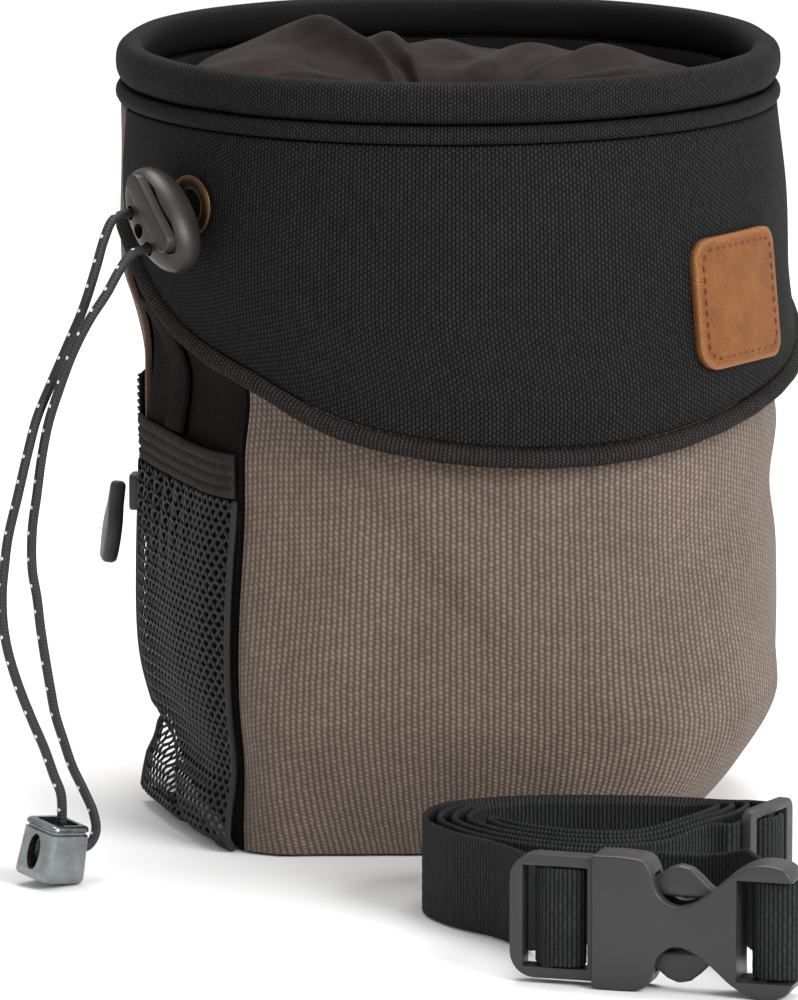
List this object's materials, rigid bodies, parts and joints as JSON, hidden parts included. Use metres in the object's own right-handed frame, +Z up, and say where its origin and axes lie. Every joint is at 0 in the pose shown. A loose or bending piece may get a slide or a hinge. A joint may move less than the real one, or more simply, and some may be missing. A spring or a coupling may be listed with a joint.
{
  "type": "climbing chalk bag with waist belt",
  "caption": "Cloth chalk bag with a padded round rim, gathered inner sleeve, net side pocket, drawcord with lock, and a coiled webbing waist belt with buckle.",
  "frame": {"origin": "on the floor, under the middle of the bag's flat base", "axes": "+Z up along the bag, -Y towards its front, where the belt lies, +X to its right as seen from the front"},
  "size_m": [0.1693, 0.2592, 0.1655],
  "materials": {
    "canvas": "matt taupe canvas with a coarse upright rib",
    "back_canvas": "matt dark brown canvas",
    "side_cloth": "matt charcoal brown cloth",
    "lining": "matt black nylon",
    "collar_cloth": "black ballistic weave with a faint sheen",
    "piping": "dark grey woven piping",
    "sleeve": "soft brown fleece",
    "leather": "tan leather, satin, with a stitched edge",
    "elastic": "ribbed matt elastic",
    "net": "black knitted net",
    "webbing": "black ribbed webbing",
    "black_plastic": "black moulded plastic, satin",
    "lock_plastic": "dark grey brown moulded plastic",
    "eyelet_brass": "aged brass",
    "cord": "black braided cord with pale flecks",
    "cord_metal": "dark polished metal"
  },
  "bodies": {
    "root": {"front_canvas": "canvas", "side_panel": "side_cloth", "back_panel": "back_canvas", "base_panel": "canvas", "lining": "lining", "collar": "collar_cloth", "collar_piping": "piping", "rim_tape": "collar_cloth", "rim_roll": "collar_cloth", "inner_sleeve": "sleeve", "leather_patch": "leather", "side_tape": "side_cloth", "elastic_band": "elastic", "mesh_pocket": "net", "zip_tape": "webbing", "zip_slider": "black_plastic", "zip_pull": "black_plastic", "belt_loop": "webbing", "eyelet": "eyelet_brass", "cord_lock": "lock_plastic", "lock_button": "lock_plastic", "drawcord_upper": "cord", "drawcord_lower": "cord", "cord_end": "cord_metal", "waist_strap": "webbing", "strap_slider": "black_plastic", "buckle_frame": "black_plastic", "buckle_body": "black_plastic"}
  },
  "joints": []
}
